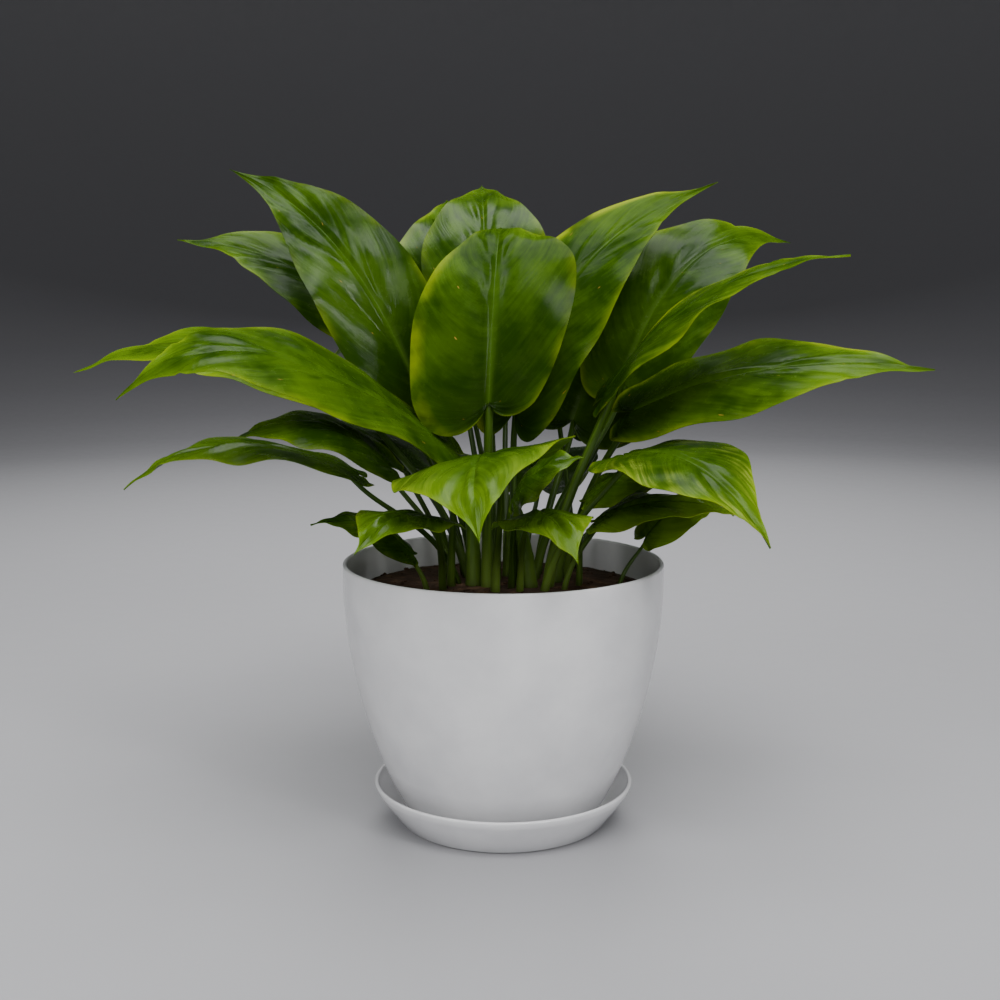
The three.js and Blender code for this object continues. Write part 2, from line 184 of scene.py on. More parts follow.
# injection-moulded white polypropylene: an even pale body with a soft gloss, faint ripple from
# the mould and dull patches where it has been handled
plasticLook = {"body": "#e9e9ea", "shade": "#dcdcde", "smoothest": 0.16, "dullest": 0.25, "ior": 1.49,
               "coat": 0.5, "coatRoughness": 0.06}


def makePolypropylene(look):
    material, tree, shader = newMaterial("mouldedPolypropylene")
    place = addNode(tree, "TexCoord", {})["Object"]
    # handling marks about 25 mm across
    patches = addNode(tree, "TexNoise", {"Vector": place, "Scale": 40, "Detail": 5})["Fac"]
    tint = addNode(tree, "MapRange", {"Value": patches, "From Min": 0.35, "From Max": 0.7})[0]
    body = addNode(tree, "Mix", {0: tint, 6: hexColour(look["body"]), 7: hexColour(look["shade"])},
                   data_type="RGBA")[2]
    rough = addNode(tree, "MapRange", {"Value": patches, "From Min": 0.3, "From Max": 0.75,
                                       "To Min": look["smoothest"], "To Max": look["dullest"]})[0]
    # mould texture is about 0.5 mm, drawn at 1.2 mm so that it shows
    grain = addNode(tree, "TexNoise", {"Vector": place, "Scale": 830, "Detail": 2})["Fac"]
    bump = addNode(tree, "Bump", {"Height": grain, "Strength": 0.03, "Distance": 0.1 * mm})[0]
    setInputs(shader, {"Base Color": body, "Roughness": rough, "Normal": bump, "IOR": look["ior"],
                       "Coat Weight": look["coat"], "Coat Roughness": look["coatRoughness"]})
    return material


polypropylene = makePolypropylene(plasticLook)

potForm = {"shoulder": 128, "foot": 46, "footGuide": (65, 28), "bellyGuide": (81.5, 85), "wall": 2.2,
           "floor": 2.4, "footRing": 6, "footRecess": 1.4, "footEdge": (0.8, 0.6), "floorFillet": (1.6, 1.5),
           "wallSteps": 44, "rimSteps": 10, "spinSteps": 160,
           "holes": 6, "holeRadius": 3.5, "holeCircle": 26, "holeSides": 32,
           "drillLength": 14, "drillHeight": 2}


# a half-round rim, from its outer side over the top to its inner side
def rimPoints(radius, height, wall, steps):
    half = wall / 2
    turns = [math.pi * step / steps for step in range(steps + 1)]
    return [(radius - half + half * math.cos(turn), height - half + half * math.sin(turn))
            for turn in turns]


# the outer wall is one curve from the foot to the shoulder
def wallPoints(form):
    low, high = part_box("pot")
    guides = [Vector((form["foot"], low[2] / mm)), Vector(form["footGuide"]), Vector(form["bellyGuide"]),
              Vector((high[0] / mm, form["shoulder"]))]
    return [bezierPoint(guides, step / form["wallSteps"]) for step in range(form["wallSteps"] + 1)]


# a point moved in from the outer wall
def besideWall(before, point, after, inset):
    along = (after - before).normalized()
    return point.x - along.y * inset, point.y + along.x * inset


def potOutline(form):
    low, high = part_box("pot")
    footHeight = low[2] / mm
    outer = wallPoints(form)
    floorHeight = footHeight + form["footRecess"] + form["floor"]
    filletWidth, filletHeight = form["floorFillet"]
    inner = [besideWall(*points, form["wall"]) for points in zip(outer, outer[1:], outer[2:])]
    inner = [point for point in inner if point[1] > floorHeight + filletHeight]
    inner.insert(0, (inner[0][0] - filletWidth, floorHeight))
    rim = rimPoints(high[0] / mm, high[2] / mm, form["wall"], form["rimSteps"])
    ringIn = form["foot"] - form["footRing"]
    recess = footHeight + form["footRecess"]
    edgeWidth, edgeHeight = form["footEdge"]
    sole = [(0, recess), (ringIn - form["footRecess"], recess), (ringIn, footHeight),
            (form["foot"] - edgeWidth, footHeight), (form["foot"], footHeight + edgeHeight)]
    outside = [tuple(point) for point in outer[1:]]
    return [*sole, *outside, *rim, *reversed(inner), (0, floorHeight)]


def makePot(form):
    outline = potOutline(form)
    pot = spinOutline("whitePot", outline, form["spinSteps"])
    across = form["holeCircle"] * mm
    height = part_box("pot")[0][2] + form["drillHeight"] * mm
    drills = []
    for index in range(form["holes"]):
        angle = 2 * math.pi * index / form["holes"]
        middle = (across * math.cos(angle), across * math.sin(angle), height)
        bpy.ops.mesh.primitive_cylinder_add(vertices=form["holeSides"], radius=form["holeRadius"] * mm,
                                            depth=form["drillLength"] * mm, location=middle)
        bpy.ops.object.transform_apply(location=True, rotation=True, scale=True)
        drills.append(bpy.context.object)
    drill = joinPieces(drills)
    selectOnly([pot])
    cut = pot.modifiers.new("drainageHoles", "BOOLEAN")
    cut.operation = "DIFFERENCE"
    cut.object = drill
    bpy.ops.object.modifier_apply(modifier=cut.name)
    bpy.data.objects.remove(drill)
    smoothPiece(pot, 35)
    pot.data.materials.append(polypropylene)
    return pot


pot = makePot(potForm)
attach(pot, "root")
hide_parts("pot")
print("pot spun and drilled")

# corner rounds the foot, bend softens the step under the lip and fillet the inner corner
saucerForm = {"base": 52.8, "wallTop": (65, 17), "thickness": 2, "corner": 1.2, "bend": 0.4, "fillet": 0.8,
              "lipFoot": (0.5, 1.4), "rimSteps": 10, "spinSteps": 160}


def makeSaucer(form):
    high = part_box("saucer")[1]
    base, thick, corner = form["base"], form["thickness"], form["corner"]
    bend, fillet = form["bend"], form["fillet"]
    topRadius, topHeight = form["wallTop"]
    slope = (topRadius - base) / topHeight
    innerTop = topRadius - thick
    outline = [
        (0, 0), (base - corner, 0), (base - 0.3 * corner, 0.25 * corner), (base + slope * corner, corner),
        (topRadius - bend, topHeight - 2 * bend), (topRadius + bend / 2, topHeight + bend),
        *rimPoints(high[0] / mm, high[2] / mm, thick, form["rimSteps"]),
        (innerTop + form["lipFoot"][0], topHeight + form["lipFoot"][1]), (innerTop - bend, topHeight - bend),
        (base + 2 * fillet, thick + 3 * fillet), (base, thick + fillet), (base - 2 * fillet, thick),
        (0, thick),
    ]
    saucer = spinOutline("whiteSaucer", outline, form["spinSteps"])
    smoothPiece(saucer, 35)
    saucer.data.materials.append(polypropylene)
    return saucer


saucer = makeSaucer(saucerForm)
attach(saucer, "root")
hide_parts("saucer")
print("saucer spun")


# leaves

# Living pothos leaf, grown under a waxy cuticle: a soft wet gloss over deep yellow-green, darkest at
# the stalk, partly its own older green and partly painted shade, and lime at the margins, clouded rather
# than striped, with a golden band of painted rim light along the left margin of some leaves. The mesh
# carries how lime, creamy and dark each point is in leafTone, the dark including the painted shade, and
# its rib and its margin, with the painted rim light, in leafMarks.
leafColours = {"deep": "#1f3a02", "mid": "#395802", "lime": "#5c7e03", "darkAndShade": "#0b1a02", "cream": "#a4ae48",
               "rib": "#4f7020", "edge": "#96a60e", "nick": "#a8843a", "ior": 1.45}
# how much the cuticle shines: a leaf loses its wax as it ages
leafWax = {"young": 0.3, "grown": 0.2, "old": 0.09}


def makeLeafSkin(look, age, wax):
    material, tree, shader = newMaterial(age + "PothosLeaf")
    coordinates = addNode(tree, "TexCoord", {})
    place, spread = coordinates["Object"], coordinates["UV"]
    tone = addNode(tree, "Attribute", {}, attribute_name="leafTone")["Color"]
    lime, cream, deep = addNode(tree, "SeparateColor", {0: tone})
    marks = addNode(tree, "Attribute", {}, attribute_name="leafMarks")["Color"]
    rib, margin, _ = addNode(tree, "SeparateColor", {0: marks})

    # cloudy patches about 30 mm and 9 mm across
    clouds = addNode(tree, "TexNoise", {"Vector": place, "Scale": 33, "Detail": 3, "Roughness": 0.55})[0]
    mottle = addNode(tree, "TexNoise", {"Vector": place, "Scale": 110, "Detail": 4, "Roughness": 0.6})[0]
    # Streaks about 2 mm wide on a 130 mm leaf, finer lines of 0.6 mm and nicks all run along the side
    # veins, and the shift makes them different on every leaf.
    shift = addNode(tree, "VectorMath", {0: place, "Scale": 9.0}, operation="SCALE")[0]
    streakPlace, linePlace, nickPlace = [
        addNode(tree, "VectorMath", {0: spread, 1: stretch, 2: shift}, operation="MULTIPLY_ADD")[0]
        for stretch in ((3, 49, 0), (4, 210, 0), (9, 51, 0))]
    streaks = addNode(tree, "TexNoise", {"Vector": streakPlace, "Scale": 1, "Detail": 5,
                                         "Roughness": 0.62})[0]
    lines = addNode(tree, "TexNoise", {"Vector": linePlace, "Scale": 1, "Detail": 3})[0]

    # two greens in patches
    patch = addNode(tree, "Math", {0: mottle, 1: 0.5, 2: clouds}, operation="MULTIPLY_ADD")[0]
    patch = addNode(tree, "Math", {0: streaks, 1: 0.5, 2: patch}, operation="MULTIPLY_ADD")[0]
    patch = addNode(tree, "MapRange", {"Value": patch, "From Min": 0.85, "From Max": 1.15})[0]
    # lime comes in from the margin and the tip, with a ragged front
    ragged = addNode(tree, "Math", {0: clouds, 1: 0.9, 2: lime}, operation="MULTIPLY_ADD")[0]
    ragged = addNode(tree, "Math", {0: streaks, 1: 0.35, 2: ragged}, operation="MULTIPLY_ADD")[0]
    ragged = addNode(tree, "MapRange", {"Value": ragged, "From Min": 0.95, "From Max": 1.75},
                     interpolation_type="SMOOTHSTEP")[0]
    # darker green round the stalk: partly the leaf's own older green, partly painted shade
    darkAndShade = addNode(tree, "MapRange", {"Value": mottle, "From Min": 0.3, "From Max": 0.6, "To Min": 0.75})[0]
    # cream runs in broken streaks on the outer part of the blade
    creamy = addNode(tree, "MapRange", {"Value": streaks, "From Min": 0.45, "From Max": 0.62,
                                        "To Max": 0.8})[0]
    broken = addNode(tree, "MapRange", {"Value": clouds, "From Min": 0.4, "From Max": 0.55})[0]
    creamy = addNode(tree, "Math", {0: creamy, 1: broken}, operation="MULTIPLY")[0]
    # fine darker lines
    fine = addNode(tree, "MapRange", {"Value": lines, "From Min": 0.5, "From Max": 0.75, "To Max": 0.3})[0]
    # the yellow margin comes and goes; along the left margin it also carries the painted rim light
    marginAndRimLight = addNode(tree, "MapRange", {"Value": clouds, "From Min": 0.42, "From Max": 0.62,
                                        "To Min": 0.05, "To Max": 0.85})[0]
    # a few dry tan nicks, 3 to 6 mm long
    nicks = addNode(tree, "TexVoronoi", {"Vector": nickPlace, "Scale": 0.55})["Distance"]
    nicks = addNode(tree, "MapRange", {"Value": nicks, "From Min": 0.03, "From Max": 0.06, "To Min": 0.8,
                                       "To Max": 0.0})[0]
    few = addNode(tree, "MapRange", {"Value": mottle, "From Min": 0.5, "From Max": 0.56})[0]

    # each colour lies over the ones before it, by its share times its strength
    green = hexColour(look["deep"])
    layers = [(patch, 1, "mid"), (ragged, 1, "lime"), (darkAndShade, deep, "darkAndShade"), (creamy, cream, "cream"),
              (fine, 1, "deep"), (rib, 1, "rib"), (marginAndRimLight, margin, "edge"), (nicks, few, "nick")]
    for share, strength, colour in layers:
        weight = addNode(tree, "Math", {0: share, 1: strength}, operation="MULTIPLY")[0]
        green = addNode(tree, "Mix", {0: weight, 6: green, 7: hexColour(look[colour])}, data_type="RGBA")[2]

    # the cuticle is smooth in patches, with a fine grain along the veins
    rough = addNode(tree, "MapRange", {"Value": mottle, "From Min": 0.35, "From Max": 0.65, "To Min": 0.13,
                                       "To Max": 0.24})[0]
    rough = addNode(tree, "Math", {0: streaks, 1: 0.12, 2: rough}, operation="MULTIPLY_ADD")[0]
    height = addNode(tree, "Math", {0: lines, 1: 0.35, 2: streaks}, operation="MULTIPLY_ADD")[0]
    bump = addNode(tree, "Bump", {"Height": height, "Strength": 0.5, "Distance": 0.3 * mm})[0]
    setInputs(shader, {"Base Color": green, "Roughness": rough, "Normal": bump, "IOR": look["ior"],
                       "Specular IOR Level": wax})
    return material


backLook = {"body": "#476a12", "shade": "#38560c", "vein": "#5a7c22", "rough": 0.5, "ior": 1.45}


# the underside has no cuticle to speak of: paler, duller and greyer, with the veins standing out
def makeLeafBack(look):
    material, tree, shader = newMaterial("paleLeafUnderside")
    coordinates = addNode(tree, "TexCoord", {})
    # a dozen side veins to a leaf, as on the upper side
    bands = addNode(tree, "Mapping", {"Vector": coordinates["UV"], "Scale": (1, 4.2, 1)})[0]
    waves = addNode(tree, "TexWave", {"Vector": bands, "Scale": 1}, bands_direction="Y")[1]
    vein = addNode(tree, "MapRange", {"Value": waves, "From Min": 0.93, "From Max": 1.0, "To Max": 0.7})[0]
    # clouds about 17 mm across
    clouds = addNode(tree, "TexNoise", {"Vector": coordinates["Object"], "Scale": 60, "Detail": 5})[0]
    body = hexColour(look["body"])
    for share, colour in [(clouds, "shade"), (vein, "vein")]:
        body = addNode(tree, "Mix", {0: share, 6: body, 7: hexColour(look[colour])}, data_type="RGBA")[2]
    bump = addNode(tree, "Bump", {"Height": vein, "Strength": 0.5, "Distance": 0.3 * mm})[0]
    setInputs(shader, {"Base Color": body, "Normal": bump, "Roughness": look["rough"], "IOR": look["ior"]})
    return material


petioleLook = {"old": "#1a3005", "young": "#375709", "pale": "#6f8b38", "streak": "#5d7d26",
               "soil": "#2b230c", "ior": 1.45, "specularLevel": 0.35}


# a petiole is firm and fleshy: smooth green skin with long fine streaks, pale where the sheath wraps
# its foot, dark above it, and brown at the soil; leafMarks tells how pale this one is
def makePetioleSkin(look):
    material, tree, shader = newMaterial("greenPetioleSkin")
    coordinates = addNode(tree, "TexCoord", {})
    marks = addNode(tree, "Attribute", {}, attribute_name="leafMarks")["Color"]
    paleness = addNode(tree, "SeparateColor", {0: marks})[2]
    down = addNode(tree, "SeparateXYZ", {0: coordinates["UV"]})["Y"]
    height = addNode(tree, "SeparateXYZ", {0: coordinates["Object"]})["Z"]
    # streaks about 1 mm wide and 30 mm long
    shift = addNode(tree, "VectorMath", {0: coordinates["Object"], "Scale": 20.0}, operation="SCALE")[0]
    along = addNode(tree, "VectorMath", {0: coordinates["UV"], 1: (14, 4, 0), 2: shift},
                    operation="MULTIPLY_ADD")[0]
    streaks = addNode(tree, "TexNoise", {"Vector": along, "Scale": 1, "Detail": 4})[0]
    young = addNode(tree, "MapRange", {"Value": down, "From Min": 0.25, "From Max": 0.75})[0]
    # the sheath ends about 30 mm above the soil
    sheath = addNode(tree, "MapRange", {"Value": height, "From Min": 0.126, "From Max": 0.15,
                                        "To Min": 0.9, "To Max": 0.1}, interpolation_type="SMOOTHSTEP")[0]
    sheath = addNode(tree, "Math", {0: sheath, 1: paleness}, operation="MULTIPLY")[0]
    pale = addNode(tree, "MapRange", {"Value": streaks, "From Min": 0.45, "From Max": 0.75,
                                      "To Max": 0.5})[0]
    # the last few millimetres above the soil are stained by it
    stain = addNode(tree, "MapRange", {"Value": height, "From Min": 0.119, "From Max": 0.125,
                                       "To Min": 0.7, "To Max": 0.0})[0]
    body = hexColour(look["old"])
    for share, colour in [(young, "young"), (sheath, "pale"), (pale, "streak"), (stain, "soil")]:
        body = addNode(tree, "Mix", {0: share, 6: body, 7: hexColour(look[colour])}, data_type="RGBA")[2]
    rough = addNode(tree, "MapRange", {"Value": streaks, "To Min": 0.34, "To Max": 0.5})[0]
    bump = addNode(tree, "Bump", {"Height": streaks, "Strength": 0.4, "Distance": 0.3 * mm})[0]
    setInputs(shader, {"Base Color": body, "Roughness": rough, "Normal": bump, "IOR": look["ior"],
                       "Specular IOR Level": look["specularLevel"]})
    return material


leafSkins = {age: makeLeafSkin(leafColours, age, wax) for age, wax in leafWax.items()}
leafBack = makeLeafBack(backLook)
petioleSkin = makePetioleSkin(petioleLook)

# How every blade is built; its curves and waves are the solid model's own, drawn finer. Most pairs
# are a start and an end or a least and a most, as shares of the way from the midrib to the margin or
# from the base to the tip. VeinStart, wrinkleWidth and wrinkleEase are millimetres.
bladeForm = {"columns": 40, "rows": 64, "crowding": 1.35, "thickness": 0.6, "marginShare": 0.4,
             "thinOut": (0.3, 1), "thinUp": (0.6, 1), "frillOut": (0.6, 1),
             "fan": 0.25, "fanPower": 1.1, "foldRounding": (1.2, 1.1),
             "wave": 1.5, "waves": 2.2, "wavePhases": (0.3, 0.8), "frill": 0.55, "frills": 6.5,
             "unevenness": 2.4, "unevenSize": 26, "ribFade": (0.55, 0.95), "groove": 0.55, "grooveWidth": 1.1,
             "shoulder": 0.5, "shoulderPlace": 2.6, "shoulderWidth": 1.3,
             "veins": 11, "veinSweep": 0.22, "veinCurve": 1.3, "veinWidth": 0.16, "pucker": 0.3,
             "veinStart": (1.5, 7), "veinFade": (0.7, 1), "veinTop": (0.8, 1),
             "wrinkles": 3, "wrinkleHeight": 1.5, "wrinkleStart": (0.08, 0.68), "wrinkleRun": (0.25, 0.4),
             "wrinkleSlope": (0.12, 0.42), "wrinkleWidth": (1.5, 3.2), "wrinkleFoot": 1.2,
             "wrinkleEase": (0, 2)}
# where each tone lies on a blade, with the painted shade towards the stalk and the painted rim light
# along the left margin
toneForm = {"limeAtRib": 0.5, "limeOutward": 0.9, "limeTipward": 0.9, "limeTip": 0.15,
            "creamOut": (0.3, 0.85), "creamUp": (0.25, 0.6), "darkAndShadeUp": (0.1, 0.7), "darkAndShadeOut": (0.6, 1),
            "cord": 0.4, "cordOut": (0.01, 0.1), "cordUp": (0.35, 0.9), "borderOut": (0.88, 1),
            "paintedRimLightOut": (0.8, 0.97), "paintedRimLightUp": (0.1, 0.3)}
# half the margin of a blade one long and one wide: round the lobe to its widest, then to the tip
lobe = [Vector(point) for point in ((0, 0), (-0.2, 0.08), (-0.12, 0.5), (0.32, 0.5))]
taper = [Vector(point) for point in ((0.32, 0.5), (0.6, 0.5), (0.77, 0.065), (1, 0))]

petioleForm = {"sides": 14, "stalkRings": 30, "ribRings": 22, "foot": 2.1, "neck": 1.5, "ribEnd": 0.82,
               "ribTip": 0.22, "ribThinning": 0.45, "sink": -0.35, "lean": 0.35, "lower": 0.45, "upper": 0.3,
               "rise": 0.9, "channel": 0.2, "channelWidth": 0.5, "sheath": 0.16, "sheathUp": (0.02, 0.3),
               "knee": 0.16, "kneePlace": 0.96, "kneeLength": 0.035, "paleFeet": (0.1, 0.35, 0.7, 1)}

# Where each leaf stands in the soil, where its blade starts and ends and which way it looks. Arch and
# bow swell the midrib, crest says how far along, fold lifts the halves, sag drops their margins and
# skew leads one half ahead. Lime and cream are how much of each colour the leaf has, and deep is how dark
# it grows towards the stalk, partly its own deeper green and partly painted shade. Age says how much wax
# is left on it, and the last setting is how strong a golden band of painted rim light is along the
# margin on its left side. What a leaf leaves out is as on the plain one.
plainLeaf = dict(crest=0.5, bow=0, fold=8, sag=5, skew=0, thick=1, bend=(0, 0, 0),
                 lime=0.3, cream=0, deep=0.4, age="young", paintedRimLight=0)
leafPlaces = {
    "leaf_01": dict(
        root=(-8, -6), base=(-7, -25, 215), tip=(-1, 26, 299), face=(-0.05, -1, 0.6),
        width=79, arch=15, crest=0.82, sag=4, skew=0.3, thick=1.4,
        deep=1, age="old", paintedRimLight=0.6),
    "leaf_02": dict(
        root=(-14, 8), base=(-42, 14, 214), tip=(-138, 30, 328), face=(0.2, -0.8, 0.4),
        width=60, arch=12, bow=13, crest=0.6, fold=12, lime=0.22, deep=1, age="grown"),
    "leaf_03": dict(
        root=(-20, 26), base=(-62, 50, 240), tip=(-169, 46, 293), face=(0.1, -0.6, 0.8),
        width=58, arch=14, bow=6, fold=12, thick=0.85, deep=0.5, age="grown"),
    "leaf_04": dict(
        root=(-26, -2), base=(-28, -24, 194), tip=(-167, -90, 221), face=(0.2, -0.42, 0.9),
        width=64, arch=33, crest=0.8, fold=6, lime=0.36, deep=0.2, age="grown"),
    "leaf_05": dict(
        root=(-18, 18), base=(-74, 34, 211), tip=(-220, 26, 226), face=(0, -0.42, 1),
        width=66, arch=22, fold=6, bend=(0, 8, 0), lime=0.5, deep=0.1, age="grown"),
    "leaf_06": dict(
        root=(-24, 11), base=(-60, 20, 180), tip=(-150, 20, 184), face=(0, -0.3, 1),
        width=44, arch=20, fold=6, thick=0.8, lime=0.35, age="grown"),
    "leaf_07": dict(
        root=(-22, 3), base=(-74, -24, 182), tip=(-175, -54, 177), face=(0, -0.12, 1),
        width=50, arch=17, crest=0.6, fold=6, thick=0.75, lime=0.4),
    "leaf_08": dict(
        root=(-38, -8), base=(-46, -10, 140), tip=(-94, -20, 155), face=(0.2, -0.3, 1),
        width=34, arch=8, fold=6, thick=0.7, lime=0.35, age="grown"),
    "leaf_09": dict(
        root=(-30, -9), base=(-33, -46, 162), tip=(-65, -94, 154), face=(-0.2, -0.45, 1),
        width=50, arch=9, fold=6, thick=0.9, lime=0.45, deep=0.2),
    "leaf_10": dict(
        root=(-4, -17), base=(-3, -52, 188), tip=(-10, -142, 168), face=(-0.35, -0.35, 1),
        width=84, arch=18, fold=4, lime=0.45, cream=0.15, deep=0.5, age="grown"),
    "leaf_11": dict(
        root=(4, -8), base=(6, -22, 170), tip=(38, -40, 190), face=(-0.3, -0.5, 0.9),
        width=40, arch=6, fold=4, thick=0.8, lime=0.4, deep=0.1),
    "leaf_12": dict(
        root=(8, -16), base=(11, -46, 162), tip=(32, -102, 151), face=(0.1, -0.45, 1),
        width=46, arch=11, fold=4, thick=0.8, lime=0.55, cream=0.3, deep=0.1),
    "leaf_13": dict(
        root=(20, -13), base=(59, -32, 190), tip=(115, -96, 157), face=(0.1, -0.45, 1),
        width=65, arch=17, fold=4, sag=3, lime=0.42, cream=0.6, deep=0.2, age="grown"),
    "leaf_14": dict(
        root=(30, -10), base=(48, -12, 157), tip=(118, -28, 158), face=(0, -0.25, 1),
        width=38, arch=10, fold=4, thick=0.7, lime=0.8, cream=0.2, deep=0),
    "leaf_15": dict(
        root=(57, -8), base=(72, 2, 146), tip=(118, 16, 153), face=(0, -0.3, 1),
        width=32, arch=14, fold=4, thick=0.55, lime=0.9, cream=0.2, deep=0),
    "leaf_16": dict(
        root=(38, 0), base=(42, -4, 166), tip=(90, -2, 174), face=(0, -0.2, 1),
        width=38, arch=8, fold=4, thick=0.8, lime=0.5, deep=0.1),
    "leaf_17": dict(
        root=(32, 20), base=(66, 4, 209), tip=(203, -32, 231), face=(0, -0.5, 0.9),
        width=66, arch=13, fold=4, bend=(0, 10, 0), lime=0.42, deep=1, age="grown", paintedRimLight=0.9),
    "leaf_18": dict(
        root=(22, -4), base=(51, -14, 221), tip=(160, -37, 284), face=(-0.53, -0.15, 0.84),
        width=49, arch=16, fold=3, sag=3, thick=1.4, lime=0.35, cream=0.1, deep=1, age="old", paintedRimLight=0.7),
    "leaf_19": dict(
        root=(16, 14), base=(63, 42, 222), tip=(157, 86, 293), face=(-0.35, -0.8, 0.5),
        width=68, arch=26, bow=-13, crest=0.6, age="grown"),
    "leaf_20": dict(
        root=(6, 4), base=(6, 8, 211), tip=(113, 60, 324), face=(-0.45, -0.8, 0.35),
        width=62, arch=14, bow=-17, fold=10, lime=0.28, deep=0.8, age="old", paintedRimLight=1),
    "leaf_21": dict(
        root=(-3, 12), base=(-8, 50, 244), tip=(-12, 108, 326), face=(0, -1, 0.6),
        width=68, arch=26, fold=10, thick=0.85, deep=0.2),
    "leaf_22": dict(
        root=(-8, 21), base=(-24, 72, 242), tip=(-32, 122, 318), face=(0, -1, 0.6),
        width=66, arch=24, fold=10, thick=0.8, paintedRimLight=0.4),
    "leaf_23": dict(
        root=(18, 28), base=(38, 60, 199), tip=(80, 96, 282), face=(-0.2, -1, 0.4),
        width=90, arch=10, lime=0.05, deep=1),
    "leaf_24": dict(
        root=(-30, 38), base=(-54, 58, 176), tip=(-130, 112, 184), face=(0, 0.1, 1),
        width=60, arch=13, thick=0.8, lime=0.2, deep=0.6),
    "leaf_25": dict(
        root=(-12, 32), base=(-46, 80, 198), tip=(-102, 150, 228), face=(-0.2, 0.5, 1),
        width=72, arch=22, thick=0.85, lime=0.4, cream=0.3),
    "leaf_26": dict(
        root=(2, 36), base=(2, 108, 206), tip=(6, 194, 240), face=(0.1, 0.5, 1),
        width=78, arch=24, thick=0.9, lime=0.4, cream=0.4, deep=0.3),
    "leaf_27": dict(
        root=(18, 44), base=(56, 100, 196), tip=(120, 164, 244), face=(0.2, 0.5, 1),
        width=74, arch=22, thick=0.85, lime=0.35, cream=0.1, paintedRimLight=0.5),
    "leaf_28": dict(
        root=(-14, 46), base=(-28, 80, 162), tip=(-64, 154, 162), face=(0, 0.2, 1),
        width=60, arch=14, thick=0.75, lime=0.45, cream=0.3, deep=0.3),
    "leaf_29": dict(
        root=(12, 58), base=(20, 86, 160), tip=(38, 162, 160), face=(0, 0.2, 1),
        width=60, arch=14, thick=0.75, deep=0.5),
    "leaf_30": dict(
        root=(34, 40), base=(62, 60, 158), tip=(128, 104, 168), face=(0, 0.1, 1),
        width=54, arch=10, thick=0.75, lime=0.4, cream=0.3),
    "leaf_31": dict(
        root=(-4, 60), base=(-24, 94, 246), tip=(-66, 140, 294), face=(-0.4, 1, 0.6),
        width=56, arch=14, thick=0.75),
    "leaf_32": dict(
        root=(38, 50), base=(30, 96, 238), tip=(62, 140, 296), face=(0.4, 1, 0.6),
        width=56, arch=14, thick=0.75, lime=0.4, cream=0.2),
}

soilTop = 119
# how deep the closed end of a stalk lies in its hole in the soil, and its last full ring
rootDepths = (11, 10.78)


def marginAt(share):
    return bezierPoint(lobe, 2 * share) if share < 0.5 else bezierPoint(taper, 2 * share - 1)


# the midrib's bow, as a function that gives a point on it and the ways along, beside and above it
def midribOf(leaf):
    base, tip, face = Vector(leaf["base"]), Vector(leaf["tip"]), Vector(leaf["face"])
    chord = tip - base
    beside = chord.cross(face).normalized()
    above = beside.cross(chord).normalized()
    middle = base + chord * leaf["crest"] + above * 2 * leaf["arch"]
    middle += beside * 2 * leaf["bow"]
    bow = [base, middle, tip]
    steps = 60
    stations = [bezierPoint(bow, step / steps) for step in range(steps + 1)]
    length = sum((after - before).length for before, after in zip(stations, stations[1:]))

    def frameAt(share):
        held = min(max(share, 0), 1)
        along = (middle - base).lerp(tip - middle, held).normalized()
        point = bezierPoint(bow, held) + along * (share - held) * length
        side = along.cross(above).normalized()
        return point, along, side, side.cross(along)

    return frameAt


# soft wrinkles that leave the midrib at a narrow angle, the same number on each half
def wrinklesOf(form, seed):
    draw = random.Random(seed)
    first, last = form["wrinkleStart"]
    wrinkles = []
    for side in (-1, 1):
        for index in range(form["wrinkles"]):
            start = first + (last - first) * (index + draw.random()) / form["wrinkles"]
            height = form["wrinkleHeight"] * draw.uniform(0.5, 1) * draw.choice((-1, 1, 1))
            wrinkles.append((side, start, draw.uniform(*form["wrinkleRun"]),
                             draw.uniform(*form["wrinkleSlope"]), height,
                             draw.uniform(*form["wrinkleWidth"])))
    return wrinkles


# how far a point of the blade stands above the flat sheet between the midrib and the margin
def bladeRise(form, leaf, wrinkles, length, along, across, share, reach):
    lift = math.radians(leaf["fold"])
    distance = abs(across)
    rounding, start = form["foldRounding"]
    softened = math.sqrt(distance * distance + rounding) - start
    phase = form["wavePhases"][0 if across > 0 else 1]
    wave = form["wave"] * math.sin(2 * math.pi * (form["waves"] * along + phase) + leaf["width"])
    edge = distance / (leaf["width"] / 2)
    rise = softened * math.sin(lift) + edge * edge * (wave - leaf["sag"])
    # the midrib lies in a groove between two soft shoulders, both dying out towards the tip
    fade = 1 - easeIn(along, *form["ribFade"])
    offShoulder = (distance - form["shoulderPlace"]) / form["shoulderWidth"]
    rise -= form["groove"] * fade * math.exp(-(distance / form["grooveWidth"]) ** 2)
    rise += form["shoulder"] * fade * math.exp(-offShoulder ** 2)
    # the blade is drawn down along each side vein
    turns = (share - form["veinSweep"] * reach ** form["veinCurve"]) * form["veins"]
    offVein = abs(turns % 1 - 0.5)
    room = easeIn(distance, *form["veinStart"]) * (1 - easeIn(reach, *form["veinFade"]))
    room *= 1 - easeIn(share, *form["veinTop"])
    rise -= form["pucker"] * room * math.exp(-(offVein / form["veinWidth"]) ** 2)
    for side, start, run, slope, height, width in wrinkles:
        passed = (along - start) / run
        if side * across > 0 and 0 < passed < 1:
            offLine = (distance - form["wrinkleFoot"] - slope * (along - start) * length) / width
            swell = math.sin(math.pi * passed) * math.exp(-offLine * offLine)
            rise += height * swell * easeIn(distance, *form["wrinkleEase"])
    frill = math.sin(2 * math.pi * form["frills"] * share + 3 * leaf["width"])
    return rise + form["frill"] * easeIn(reach, *form["frillOut"]) * frill


